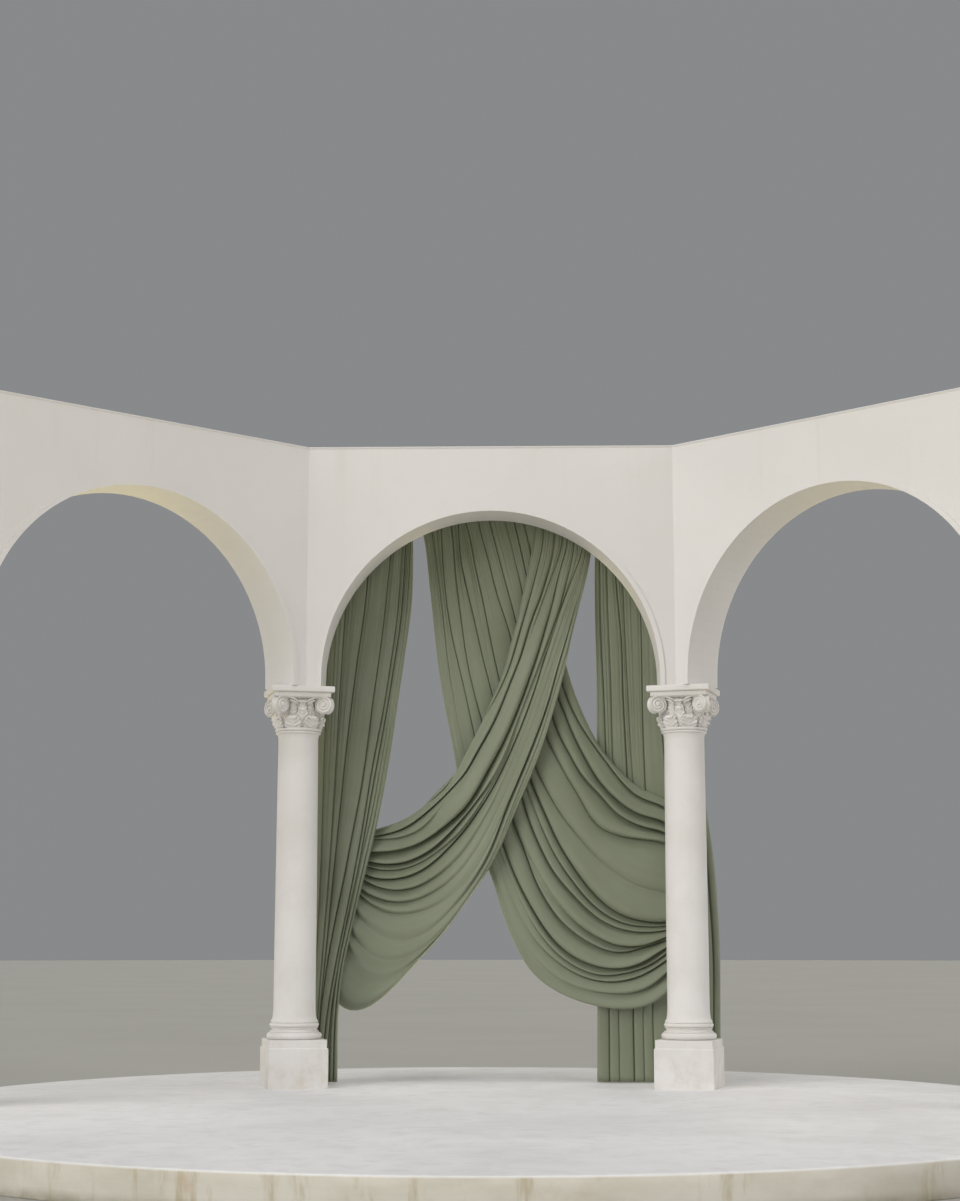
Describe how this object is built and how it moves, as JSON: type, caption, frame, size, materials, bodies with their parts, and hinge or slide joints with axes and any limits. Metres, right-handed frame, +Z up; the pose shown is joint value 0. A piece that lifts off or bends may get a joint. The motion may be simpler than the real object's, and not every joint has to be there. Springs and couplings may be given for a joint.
{
  "type": "garden gazebo arcade",
  "caption": "Roofless round-platform gazebo with arched white wall bays on classical columns and sage drapes behind the middle arch",
  "frame": {"origin": "centre of the platform's underside", "axes": "+Z up, +Y from the visitor towards the middle bay, +X to the visitor's right"},
  "size_m": [7.1536, 7.15, 4.4873],
  "materials": {
    "platform_concrete": "trowelled concrete, stained at the edge",
    "cast_stone": "painted cast stone, matte",
    "painted_render": "off-white painted render, matte",
    "rail_steel": "plain steel tube",
    "drape_cloth": "matte sage-green stretch cloth"
  },
  "bodies": {
    "root": {"platform": "platform_concrete", "pedestal_1": "cast_stone", "column_base_1": "cast_stone", "column_shaft_1": "cast_stone", "capital_1": "cast_stone", "abacus_1": "cast_stone", "pedestal_2": "cast_stone", "column_base_2": "cast_stone", "column_shaft_2": "cast_stone", "capital_2": "cast_stone", "abacus_2": "cast_stone", "pedestal_3": "cast_stone", "column_base_3": "cast_stone", "column_shaft_3": "cast_stone", "capital_3": "cast_stone", "abacus_3": "cast_stone", "pedestal_4": "cast_stone", "column_base_4": "cast_stone", "column_shaft_4": "cast_stone", "capital_4": "cast_stone", "abacus_4": "cast_stone", "wall_left": "painted_render", "arch_rim_left": "painted_render", "coping_left": "painted_render", "wall_middle": "painted_render", "arch_rim_middle": "painted_render", "coping_middle": "painted_render", "wall_right": "painted_render", "arch_rim_right": "painted_render", "coping_right": "painted_render", "hanging_rail": "rail_steel", "curtain_left": "drape_cloth", "curtain_right": "drape_cloth", "swag_front": "drape_cloth", "swag_back": "drape_cloth"}
  },
  "joints": []
}
